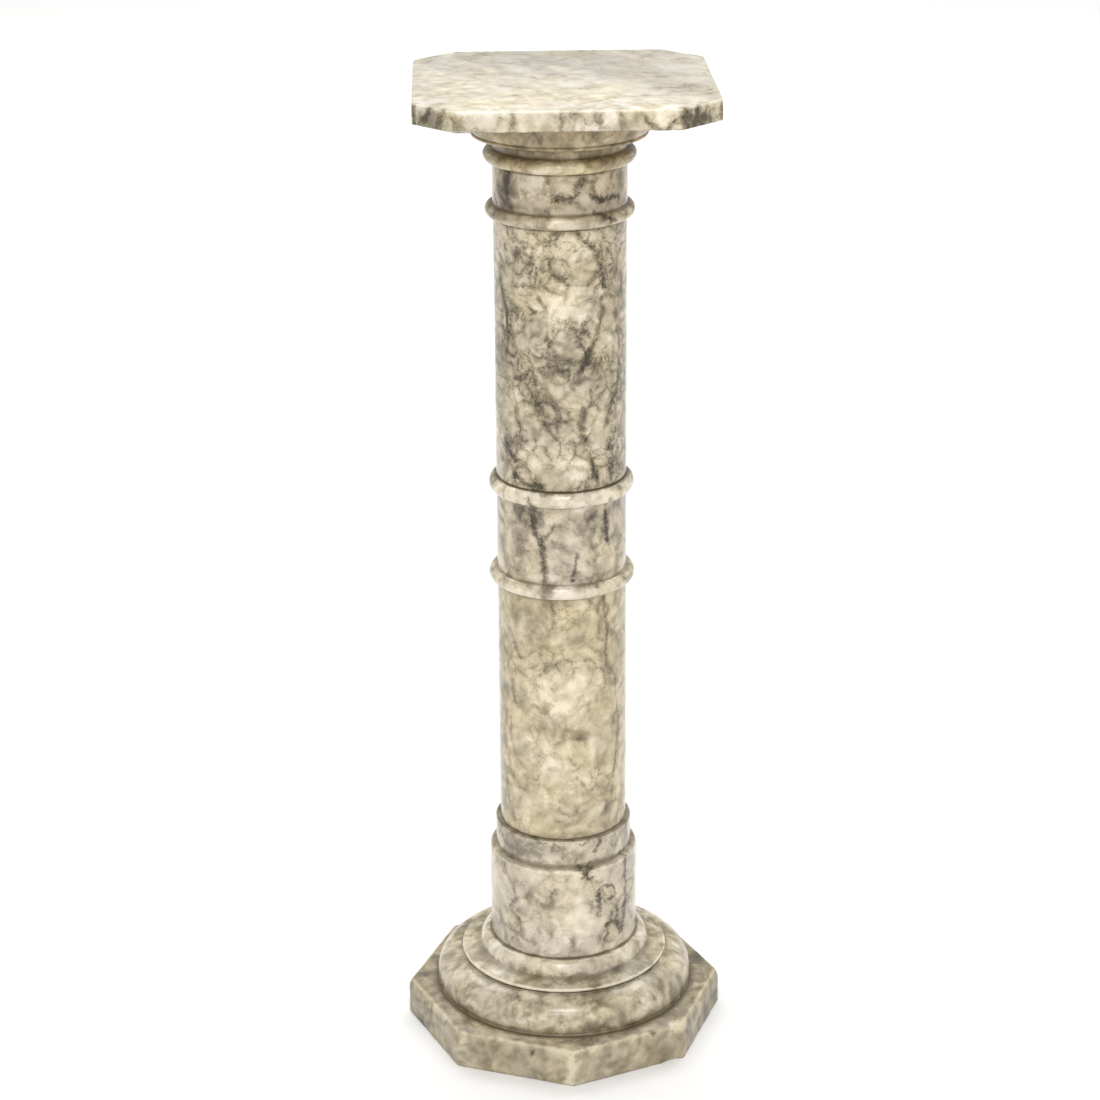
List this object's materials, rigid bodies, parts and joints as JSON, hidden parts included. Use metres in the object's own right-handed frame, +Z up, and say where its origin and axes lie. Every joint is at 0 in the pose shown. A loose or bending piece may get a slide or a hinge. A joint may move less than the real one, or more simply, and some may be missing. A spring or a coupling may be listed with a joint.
{
  "type": "marble pedestal",
  "caption": "Tall stone display pedestal: square top slab with cut corners, ringed round column, turned moulded base and eight-sided plinth.",
  "frame": {"origin": "centre of the plinth's underside, on the floor", "axes": "+Z up along the column, the slab's edges along X and Y, the front towards -Y"},
  "size_m": [0.3316, 0.3316, 1],
  "materials": {
    "marble_warm": "soft polish, warm cream with faint grey-brown clouding",
    "marble_grey": "soft polish, cream cells in charcoal-grey speckled veins",
    "marble_pale": "soft polish, pale lilac cream with dark veins",
    "marble_tan": "soft worn polish, tan cream with olive-grey patches and grime in the quirks"
  },
  "bodies": {
    "root": {"plinth": "marble_tan", "base_moulding": "marble_grey", "socket_drum": "marble_pale", "lower_shaft": "marble_warm", "middle_drum": "marble_pale", "upper_shaft": "marble_grey", "necking_drum": "marble_pale", "capital": "marble_tan", "top_slab": "marble_warm"}
  },
  "joints": []
}
